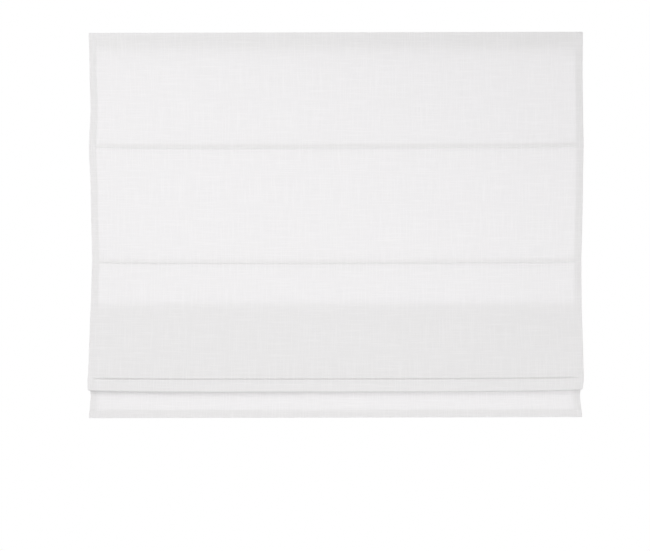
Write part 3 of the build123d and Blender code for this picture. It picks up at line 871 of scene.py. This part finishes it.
cords_low, cords_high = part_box("lift_cords")
cord_r = (cords_high.y - cords_low.y) / 2
cord_y = (cords_low.y + cords_high.y) / 2
cord_places = {"left": cords_low.x + cord_r, "middle": 0.0, "right": cords_high.x - cord_r}
ring_2_z = middle("cord_rings_rod_2").z
cord_cuts = 10
print("cord", round(2 * cord_r / MM, 2), "mm thick at", [round(x, 3) for x in cord_places.values()])


# %% Hanging cords
def taut_cord(name, x, top, foot):
    """A straight cord between two heights, divided along its length."""
    bpy.ops.mesh.primitive_cylinder_add(
        vertices=10, radius=cord_r, depth=top - foot, location=(x, cord_y, (top + foot) / 2)
    )
    cord = bpy.context.object
    cord.name = name
    bpy.ops.object.transform_apply(location=True, rotation=False, scale=False)
    bpy.ops.object.mode_set(mode="EDIT")
    bpy.ops.mesh.select_all(action="DESELECT")
    bpy.ops.object.mode_set(mode="OBJECT")
    for edge in cord.data.edges:
        first, last = (cord.data.vertices[index].co for index in edge.vertices)
        edge.select = abs(first.z - last.z) > (top - foot) / 2
    bpy.ops.object.mode_set(mode="EDIT")
    bpy.ops.mesh.select_mode(type="EDGE")
    bpy.ops.mesh.subdivide(number_cuts=cord_cuts)
    bpy.ops.object.mode_set(mode="OBJECT")
    bpy.ops.object.shade_smooth_by_angle(angle=radians(50))
    cord.data.materials.append(cord_finish)
    cord.select_set(False)
    return cord


upper_cords = []
lower_cords = []
for side, x in cord_places.items():
    upper_cords.append(taut_cord(f"lift_cord_{side}_upper", x, cords_high.z, ring_2_z))
    lower_cords.append(taut_cord(f"lift_cord_{side}_lower", x, ring_2_z, cords_low.z))
print("cord hangs", round(cords_high.z - cords_low.z, 3), "m below its drum")

# %% Turns of cord on the drums
winding_low, winding_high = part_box("cord_windings")
shaft = middle("lift_shaft")
turn_pitch = 1.25 * MM
strands = 10
first_turn = 0.4 * MM
steps_per_turn = 40


def wound_cord(name, x):
    """Turns of cord side by side round the shaft's axis."""
    coil_r = (winding_high.z - winding_low.z) / 2 - cord_r
    bpy.ops.mesh.primitive_circle_add(
        vertices=10, radius=cord_r, location=(0, 0, coil_r), rotation=(radians(90), 0, 0)
    )
    coil = bpy.context.object
    coil.name = name
    bpy.ops.object.transform_apply(location=True, rotation=True, scale=False)
    bpy.ops.object.modifier_add(type="SCREW")
    screw = coil.modifiers[-1]
    screw.axis = "X"
    screw.angle = 2 * pi
    screw.screw_offset = turn_pitch
    screw.iterations = strands - 1
    screw.steps = screw.render_steps = steps_per_turn
    screw.use_merge_vertices = True
    bpy.ops.object.modifier_apply(modifier=screw.name)
    bpy.ops.object.mode_set(mode="EDIT")
    bpy.ops.mesh.select_all(action="SELECT")
    bpy.ops.mesh.remove_doubles(threshold=0.01 * MM)
    bpy.ops.mesh.fill_holes(sides=12)
    bpy.ops.mesh.normals_make_consistent(inside=False)
    bpy.ops.object.mode_set(mode="OBJECT")
    bpy.ops.transform.translate(value=(x, shaft.y, shaft.z))
    bpy.ops.object.transform_apply(location=True, rotation=False, scale=False)
    bpy.ops.object.shade_smooth_by_angle(angle=radians(60))
    coil.data.materials.append(cord_finish)
    coil.select_set(False)
    return coil


windings = [
    wound_cord(f"wound_cord_{side}", x + cord_r + first_turn) for side, x in cord_places.items()
]
print("strands on each drum", strands, "at a pitch of", round(turn_pitch / MM, 2), "mm")

# %% [markdown]
# ## What moves with what
#
# In the blind, the upper cloth is held at the rail and at the first rod, from the second rod down
# it moves with that rod, and the returning cloth bends between the lip and the fourth rod. Here
# these two sheets, the stitches up the sides and the cords keep the shape they are laid in. The
# flap and its stitches go with the lower fold, so that the flap, the bar and the fourth rod move as
# one. The first tuck, its stitches and the heading stitches go with the rail, the other tucks and
# their stitches with the upper fold, and the turns of cord with the drive.

for piece in [cloth_upper, *side_stitches]:
    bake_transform(piece)

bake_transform(cloth_return)

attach(cloth_flap, "lower_fold")
for piece in [*flap_stitches, neck_stitches, hem_stitches]:
    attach(piece, "lower_fold")
for piece, body in zip(tucks + seam_stitches, 2 * ["headrail", "upper_fold", "upper_fold"]):
    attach(piece, body)
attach(heading_stitches, "headrail")

for cord in upper_cords:
    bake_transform(cord)
for cord in lower_cords:
    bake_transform(cord)
for coil in windings:
    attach(coil, "lift_drive")

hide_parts("fabric")
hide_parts("lift_cords")
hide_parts("cord_windings")

# %% Cut sizes
print("cut lengths", [round(v, 3) for v in (upper_length, return_length, flap_length)], "m")
